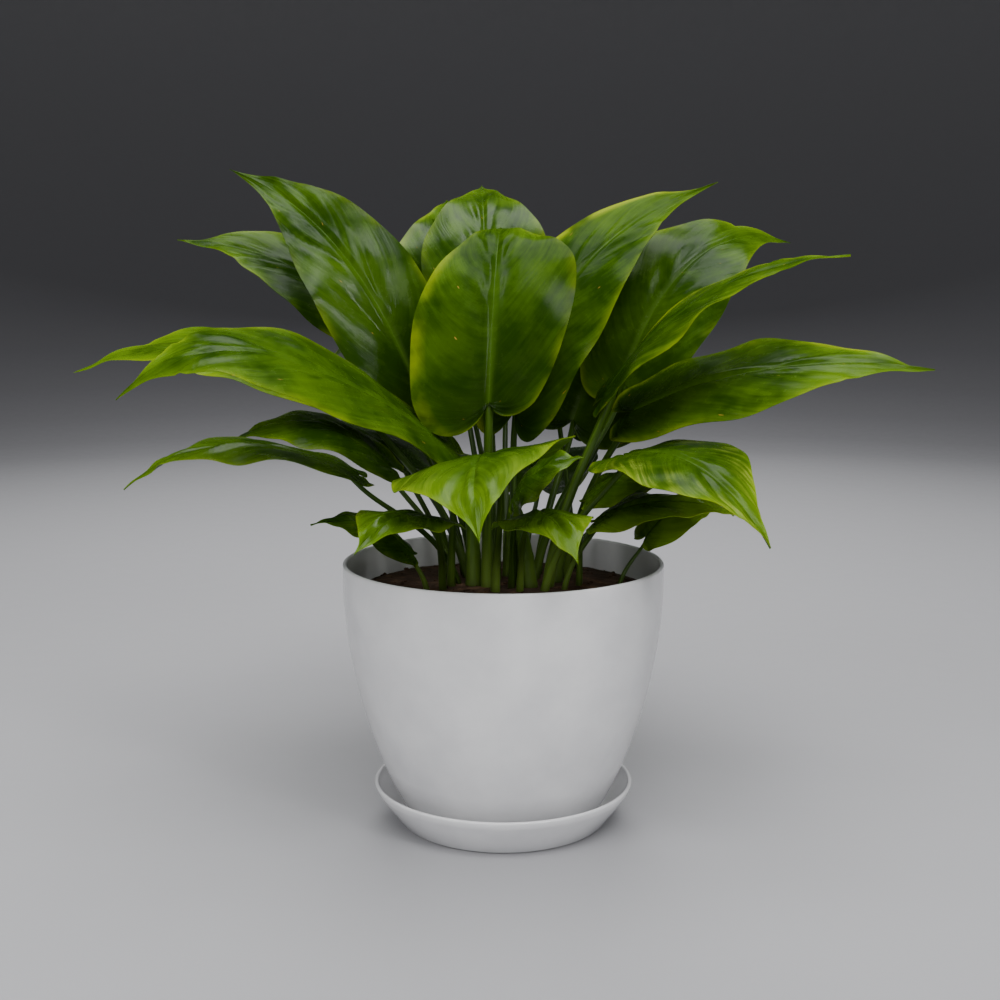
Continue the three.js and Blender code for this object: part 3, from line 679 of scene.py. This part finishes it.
def makeBlade(form, tones, leaf, frameAt, seed):
    wrinkles = wrinklesOf(form, seed)
    length = (Vector(leaf["tip"]) - Vector(leaf["base"])).length

    def place(acrossShare, share):
        signed = 2 * acrossShare - 1
        reach = abs(signed) ** form["crowding"]
        sign = 1 if signed > 0 else -1
        margin = marginAt(share)
        rib = max(0, (share - form["fan"]) / (1 - form["fan"])) ** form["fanPower"]
        lead = sign * leaf["skew"] * margin.y * reach
        along = rib + (margin.x - rib) * reach + lead
        across = sign * leaf["width"] * margin.y * reach
        point, _, side, above = frameAt(along)
        lift = math.radians(leaf["fold"])
        rise = bladeRise(form, leaf, wrinkles, length, along, across, share, reach)
        uneven = noise.noise((point + side * across) / form["unevenSize"]) * min(reach * 2, 1)
        rise += form["unevenness"] * uneven
        return (point + side * across * math.cos(lift) + above * rise) * mm

    def valuesAt(acrossShare, share):
        reach = abs(2 * acrossShare - 1) ** form["crowding"]
        spread = tones["limeAtRib"] + tones["limeOutward"] * reach ** 2 + tones["limeTipward"] * share ** 2
        limeness = leaf["lime"] * spread + tones["limeTip"] * share ** 3
        creaminess = leaf["cream"] * easeIn(reach, *tones["creamOut"]) * easeIn(share, *tones["creamUp"])
        # darker towards the stalk and less so at the margin: partly the leaf's own deeper green, partly
        # painted shade
        darknessAndShade = leaf["deep"] * (1 - easeIn(share, *tones["darkAndShadeUp"]))
        darknessAndShade *= 1 - 0.5 * easeIn(reach, *tones["darkAndShadeOut"])
        cord = tones["cord"] * (1 - easeIn(reach, *tones["cordOut"]))
        cord *= 1 - 0.9 * easeIn(share, *tones["cordUp"])
        borderAndRimLight = easeIn(reach, *tones["borderOut"]) * (0.1 + 0.7 * leaf["lime"])
        # painted rim light: a golden band along the left margin, as if light caught the blade's far half
        if acrossShare < 0.5:
            paintedRimLight = easeIn(reach, *tones["paintedRimLightOut"]) * easeIn(share, *tones["paintedRimLightUp"])
            borderAndRimLight = max(borderAndRimLight, leaf["paintedRimLight"] * paintedRimLight)
        thinned = max(easeIn(reach, *form["thinOut"]), easeIn(share, *form["thinUp"]))
        thickness = 1 - (1 - form["marginShare"]) * thinned
        return (limeness, creaminess, darknessAndShade), (cord, borderAndRimLight, 0), thickness

    blade = addSheet("blade", form["columns"], form["rows"], place, valuesAt)
    # across the sheet its coordinates run with the reach, and up it they run along the side veins
    sweep = form["veinSweep"]
    for corner in blade.data.uv_layers[0].data:
        signed = 2 * corner.uv.x - 1
        reach = abs(signed) ** form["crowding"]
        up = corner.uv.y + sweep * (1 - reach ** form["veinCurve"])
        corner.uv = (0.5 + math.copysign(reach, signed) / 2, up / (1 + sweep))
    blade.data.materials.append(leafSkins[leaf["age"]])
    blade.data.materials.append(leafBack)
    body = blade.modifiers.new("body", "SOLIDIFY")
    body.thickness = form["thickness"] * mm
    body.offset = 0
    body.vertex_group = "thickness"
    body.material_offset = 1
    bpy.ops.object.modifier_apply(modifier=body.name)
    blade.vertex_groups.clear()
    return blade


# a closed tube along a list of points; radiusAt takes the station and the angle from the inner side,
# and paleness is how pale the foot of a petiole is
def addTube(name, points, sides, inner, radiusAt, paleness):
    across = Vector(inner)
    frames = []
    for index, point in enumerate(points):
        along = (points[min(index + 1, len(points) - 1)] - points[max(index - 1, 0)]).normalized()
        across = (across - along * across.dot(along)).normalized()
        frames.append((point, across.copy(), along.cross(across)))

    def place(around, down):
        index = round(down * (len(points) - 1))
        point, ahead, beside = frames[index]
        angle = 2 * math.pi * (around % 1)
        radius = radiusAt(index, angle)
        return (point + ahead * radius * math.cos(angle) + beside * radius * math.sin(angle)) * mm

    def valuesAt(around, down):
        return (0, 0, 0), (0, 0, paleness), 1

    return addSheet(name, sides, len(points) - 1, place, valuesAt)


# the way that a petiole or stem leaves the soil: upright, leaning a little to where it goes
def footOf(root, goal, lean):
    foot = Vector((root[0], root[1], soilTop))
    away = goal - foot
    return foot, Vector((away.x * lean, away.y * lean, away.z)).normalized()


def makePetiole(form, leaf, frameAt, seed):
    thick = leaf["thick"]
    neck, footRadius = form["neck"] * thick, form["foot"] * thick
    start, along, _, above = frameAt(0)
    joint = start + above * (form["sink"] - neck)
    foot, way = footOf(leaf["root"], joint, form["lean"])
    distance = (joint - foot).length
    arrive = (along + Vector((0, 0, form["rise"]))).normalized()
    lower = foot + way * form["lower"] * distance
    upper = joint - arrive * form["upper"] * distance + Vector(leaf["bend"])
    points = [foot - way * depth for depth in rootDepths]
    radii = [0, footRadius]
    for step in range(form["stalkRings"] + 1):
        share = step / form["stalkRings"]
        points.append(bezierPoint([foot, lower, upper, joint], share))
        # a sheath wraps the foot, and the petiole swells into a knee below the blade
        sheath = 1 + form["sheath"] * (1 - easeIn(share, *form["sheathUp"]))
        knee = 1 + form["knee"] * math.exp(-((share - form["kneePlace"]) / form["kneeLength"]) ** 2)
        radii.append((footRadius + (neck - footRadius) * share) * sheath * knee)
    stalkEnd = len(points)
    for step in range(1, form["ribRings"] + 1):
        share = form["ribEnd"] * step / form["ribRings"]
        point, _, _, above = frameAt(share)
        radius = neck + (form["ribTip"] - neck) * (step / form["ribRings"]) ** form["ribThinning"]
        points.append(point + above * (form["sink"] * (1 - 0.7 * share) - radius))
        radii.append(radius)
    points.append(points[-1] + (points[-1] - points[-2]) * 0.1)
    radii.append(0)
    # the petiole's channel faces the pot's axis
    inner = Vector((-foot.x, -foot.y, 0))
    if inner.length <= 2:
        inner = Vector((0, 1, 0))

    def radiusAt(index, angle):
        turned = min(angle, 2 * math.pi - angle)
        channel = form["channel"] * math.exp(-(turned / form["channelWidth"]) ** 2)
        return radii[index] * (1 - channel if index < stalkEnd else 1)

    paleness = random.Random(seed).choice(form["paleFeet"])
    petiole = addTube("petiole", points, form["sides"], inner.normalized(), radiusAt, paleness)
    petiole.data.materials.append(petioleSkin)
    return petiole


def makeLeaf(node, leaf, seed):
    frameAt = midribOf(leaf)
    blade = makeBlade(bladeForm, toneForm, leaf, frameAt, seed)
    petiole = makePetiole(petioleForm, leaf, frameAt, seed)
    piece = joinPieces([blade, petiole])
    piece.name = node.replace("leaf_", "pothosLeaf")
    smoothPiece(piece, 70)
    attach(piece, "root")
    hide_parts(node)


for seed, (node, leaf) in enumerate(leafPlaces.items()):
    makeLeaf(node, {**plainLeaf, **leaf}, seed)
print("leaves grown:", len(leafPlaces))


# stems

stemForm = {"sides": 20, "rings": 60, "radius": 4.2, "lean": 0.4, "narrowing": 0.3, "nodeEvery": 15,
            "firstNode": 0.35, "nodeSwell": 0.1, "nodeLength": 1.4, "scar": 0.06, "scarLength": 0.35,
            "tipFrom": 0.8, "tipRounding": 0.999, "groove": 0.05, "grooves": 3, "twist": 0.02,
            "paleness": 0.5}
stemPlaces = {
    "stem_1": dict(root=(-15, -1), top=(-16, 3, 158)),
    "stem_2": dict(root=(13, -4), top=(5, -3, 164)),
    "stem_3": dict(root=(3, 22), top=(6, 26, 168), thick=0.9),
    "stem_4": dict(root=(26, 7), top=(33, 9, 152), thick=0.9),
    "stem_5": dict(root=(-30, 26), top=(-34, 27, 148), thick=0.9),
    "stem_6": dict(root=(-6, 41), top=(-7, 45, 150), thick=0.85),
}


# a short climbing stem: ringed nodes, shallow grooves and a closed tip of rolled leaf sheath
def makeStem(form, node, item):
    top = Vector(item["top"])
    foot, way = footOf(item["root"], top, form["lean"])
    middle = foot + way * 0.5 * (top - foot).length
    radius = form["radius"] * item.get("thick", 1)
    points = [foot - way * depth for depth in rootDepths]
    radii = [0, radius]
    for step in range(form["rings"] + 1):
        share = step / form["rings"]
        points.append(bezierPoint([foot, middle, top], share))
        height = share * (top - foot).length
        offNode = abs((height / form["nodeEvery"] + form["firstNode"]) % 1 - 0.5) * form["nodeEvery"]
        swell = form["nodeSwell"] * math.exp(-(offNode / form["nodeLength"]) ** 2)
        swell -= form["scar"] * math.exp(-(offNode / form["scarLength"]) ** 2)
        close = math.sqrt(1 - easeIn(share, form["tipFrom"], 1) ** 2 * form["tipRounding"])
        radii.append(radius * (1 - form["narrowing"] * share) * (1 + swell) * close)
    radii[-1] = 0

    def radiusAt(index, angle):
        turn = form["grooves"] * angle + form["twist"] * index
        return radii[index] * (1 + form["groove"] * math.sin(turn))

    stem = addTube(node.replace("stem_", "pothosStem"), points, form["sides"], (0, 1, 0), radiusAt,
                   form["paleness"])
    stem.data.materials.append(petioleSkin)
    smoothPiece(stem, 70)
    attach(stem, "root")
    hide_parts(node)


for node, item in stemPlaces.items():
    makeStem(stemForm, node, item)
print("stems grown:", len(stemPlaces))


# soil

soilLook = {"wet": "#25190f", "peat": "#443022", "dry": "#684f37", "rough": 0.92, "ior": 1.4}


# moist potting mix of peat and fine bark: almost black where it is wet, red-brown on the dry crests
def makePottingMix(look):
    material, tree, shader = newMaterial("moistPottingMix")
    place = addNode(tree, "TexCoord", {})["Object"]
    # clods about 9 mm across and crumbs about 1.5 mm across
    clods = addNode(tree, "TexNoise", {"Vector": place, "Scale": 110, "Detail": 6, "Roughness": 0.65})[0]
    crumbs = addNode(tree, "TexVoronoi", {"Vector": place, "Scale": 660})["Distance"]
    damp = addNode(tree, "MapRange", {"Value": clods, "From Min": 0.35, "From Max": 0.62})[0]
    crest = addNode(tree, "MapRange", {"Value": clods, "From Min": 0.55, "From Max": 0.75})[0]
    body = hexColour(look["wet"])
    for share, colour in [(damp, "peat"), (crest, "dry")]:
        body = addNode(tree, "Mix", {0: share, 6: body, 7: hexColour(look[colour])}, data_type="RGBA")[2]
    height = addNode(tree, "Math", {0: crumbs, 1: -0.6, 2: clods}, operation="MULTIPLY_ADD")[0]
    bump = addNode(tree, "Bump", {"Height": height, "Strength": 0.7, "Distance": 0.6 * mm})[0]
    setInputs(shader, {"Base Color": body, "Normal": bump, "Roughness": look["rough"], "IOR": look["ior"]})
    return material


pottingMix = makePottingMix(soilLook)
soilForm = {"around": 168, "topRings": 64, "crown": 2.5, "edge": 76.4, "edgeDrop": 1.5, "settled": 0.4,
            "clod": 0.45, "clodSize": 11, "crumb": 0.22, "crumbSize": 2.4, "gap": 0.5,
            "footCorner": 1.2, "sideEnds": (2, 4)}


# height of the soil's surface at a place, with clods, crumbs and a low crown
def soilHeight(form, x, y):
    share = min(math.hypot(x, y) / form["edge"], 1)
    crown = form["crown"] * (1 - share ** 2) - form["edgeDrop"] * easeIn(share, 0.9, 1)
    clod = form["clod"] * noise.fractal(Vector((x, y, 3)) / form["clodSize"], 0.9, 2.1, 4)
    crumb = form["crumb"] * noise.noise(Vector((x, y, 8)) / form["crumbSize"])
    return soilTop - form["settled"] + crown + (clod + crumb) * (1 - 0.5 * easeIn(share, 0.93, 1))


# its side follows the pot's inner wall, a small gap away, and stops short of its floor and its top
def makeSoil(form, potShape):
    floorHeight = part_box("soil")[0][2] / mm
    outer = wallPoints(potShape)
    inset = potShape["wall"] + form["gap"]
    side = [besideWall(*points, inset) for points in zip(outer, outer[1:], outer[2:])]
    short, shortTop = form["sideEnds"]
    side = [point for point in side if floorHeight + short < point[1] < soilTop - shortTop]
    rings = [(0, floorHeight, False), (side[0][0] - form["footCorner"], floorHeight, False)]
    rings += [(radius, height, False) for radius, height in side]
    rings += [(form["edge"] * (1 - step / form["topRings"]), 0, True) for step in range(form["topRings"] + 1)]

    def place(around, down):
        radius, height, isTop = rings[round(down * (len(rings) - 1))]
        angle = 2 * math.pi * (around % 1)
        x, y = radius * math.cos(angle), radius * math.sin(angle)
        return Vector((x, y, soilHeight(form, x, y) if isTop else height)) * mm

    soil = addSheet("pottingSoil", form["around"], len(rings) - 1, place)
    smoothPiece(soil, 60)
    soil.data.materials.append(pottingMix)
    return soil


crumbForm = {"count": 260, "sizes": (0.5, 1.4), "stretch": (0.8, 1.7), "flatness": (0.4, 0.9), "tilt": 0.5,
             "sunk": 0.25, "dent": 0.3, "spread": 0.96, "seed": 16}


# crumbs of bark and peat, half sunk in the soil's surface
def makeCrumbs(form, ground):
    random.seed(form["seed"])
    bpy.ops.mesh.primitive_ico_sphere_add(subdivisions=1, radius=mm)
    pattern = bpy.context.object
    copies = []
    for index in range(form["count"]):
        crumb = pattern.copy()
        crumb.data = pattern.data.copy()
        bpy.context.collection.objects.link(crumb)
        angle = random.uniform(0, 2 * math.pi)
        radius = ground["edge"] * form["spread"] * math.sqrt(random.random())
        x, y = radius * math.cos(angle), radius * math.sin(angle)
        low, high = form["sizes"]
        size = low + (high - low) * random.random() ** 2.5
        flat = random.uniform(*form["flatness"])
        shape = Matrix.Diagonal((size * random.uniform(*form["stretch"]), size, size * flat, 1))
        turn = Matrix.Rotation(random.uniform(0, 6.28), 4, "Z")
        turn @= Matrix.Rotation(random.uniform(-form["tilt"], form["tilt"]), 4, "X")
        centre = Vector((x, y, soilHeight(ground, x, y) + form["sunk"] * size * flat)) * mm
        crumb.data.transform(Matrix.Translation(centre) @ turn @ shape)
        for vertex in crumb.data.vertices:
            vertex.co += noise.noise_vector(vertex.co * 700) * form["dent"] * size * mm
        copies.append(crumb)
    bpy.data.objects.remove(pattern)
    crumbs = joinPieces(copies)
    crumbs.name = "barkCrumbs"
    smoothPiece(crumbs, 40)
    crumbs.data.materials.append(pottingMix)
    return crumbs


soil = makeSoil(soilForm, potForm)
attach(soil, "root")
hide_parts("soil")
crumbs = makeCrumbs(crumbForm, soilForm)
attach(crumbs, "root")
print("soil laid")


# floor and light

studio = {"floor": "#a9a9ac", "wall": "#4c4c4f", "paintedFalloffStart": 0.35, "paintedFalloffEnd": 2.6, "world": "#d7d8da",
          "worldStrength": 0.2, "floorRadius": 1700, "bend": 1100, "bendSteps": 12, "height": 3600,
          "steps": 96}
lightAim = Vector((0, 0, 0.2))  # the middle of the plant
# Bearing is turned from straight in front, to the right. Both angles are in degrees, sizes and
# distances in metres and powers in watts. The fills only brighten: they leave no shine of their own
# on the leaves and the pot.
softboxes = {
    "overheadSoftbox": dict(bearing=0, height=86, distance=1.7, size=1.25, power=23),
    "upperRightSoftbox": dict(bearing=28, height=54, distance=1.8, size=0.6, power=10),
    "rightGlint": dict(bearing=40, height=27, distance=2.0, size=0.25, power=6.5),
    "keyFill": dict(bearing=-48, height=34, distance=1.9, size=0.9, power=11, shine=False),
    "lowFrontFill": dict(bearing=2, height=16, distance=2.0, size=1.2, power=13, shine=False),
    "highFrontFill": dict(bearing=0, height=56, distance=1.9, size=0.9, power=12, shine=False),
    "backFill": dict(bearing=180, height=30, distance=2.0, size=1.2, power=26, shine=False),
}


# matt studio paint, faintly uneven, with a painted pool of light: pale round the pot and darker far away
def makeStudioPaint(setup):
    material, tree, shader = newMaterial("mattStudioPaint")
    place = addNode(tree, "TexCoord", {})["Object"]
    mottle = addNode(tree, "TexNoise", {"Vector": place, "Scale": 60, "Detail": 4})["Fac"]
    rough = addNode(tree, "MapRange", {"Value": mottle, "To Min": 0.5, "To Max": 0.62})[0]
    flat = addNode(tree, "VectorMath", {0: place, 1: (1, 1, 0)}, operation="MULTIPLY")["Vector"]
    far = addNode(tree, "VectorMath", {0: flat}, operation="LENGTH")["Value"]
    # painted pool of light: the paint grows darker with distance from the pot
    fade = addNode(tree, "MapRange", {"Value": far, "From Min": setup["paintedFalloffStart"],
                                      "From Max": setup["paintedFalloffEnd"]}, interpolation_type="SMOOTHERSTEP")[0]
    paint = addNode(tree, "Mix", {0: fade, 6: hexColour(setup["floor"]), 7: hexColour(setup["wall"])},
                    data_type="RGBA")[2]
    setInputs(shader, {"Base Color": paint, "Roughness": rough})
    return material


# a floor that curves up into a wall on every side
def makeSweep(setup):
    outline = [(0, 0), (setup["floorRadius"], 0)]
    for step in range(1, setup["bendSteps"] + 1):
        angle = math.pi / 2 * step / setup["bendSteps"]
        outline.append((setup["floorRadius"] + setup["bend"] * math.sin(angle),
                        setup["bend"] * (1 - math.cos(angle))))
    outline.append((setup["floorRadius"] + setup["bend"], setup["height"]))
    sweep = spinOutline("studioSweep", outline, setup["steps"])
    smoothPiece(sweep, 60)
    sweep.data.materials.append(makeStudioPaint(setup))


def addSoftbox(name, box):
    bearing, height = math.radians(box["bearing"]), math.radians(box["height"])
    level = math.cos(height)
    out = Vector((math.sin(bearing) * level, -math.cos(bearing) * level, math.sin(height)))
    bpy.ops.object.light_add(type="AREA", location=lightAim + out * box["distance"],
                             rotation=out.to_track_quat("Z", "Y").to_euler())
    lamp = bpy.context.object
    lamp.name = name
    lamp.data.size = box["size"]
    lamp.data.energy = box["power"]
    lamp.visible_camera = False
    lamp.visible_glossy = box.get("shine", True)


def lightWorld(setup):
    world = bpy.data.worlds.new("paleStudio")
    world.use_nodes = True
    setInputs(world.node_tree.nodes["Background"], {"Color": hexColour(setup["world"]),
                                                    "Strength": setup["worldStrength"]})
    bpy.context.scene.world = world


makeSweep(studio)
for name, box in softboxes.items():
    addSoftbox(name, box)
lightWorld(studio)
print("floor and lights set")
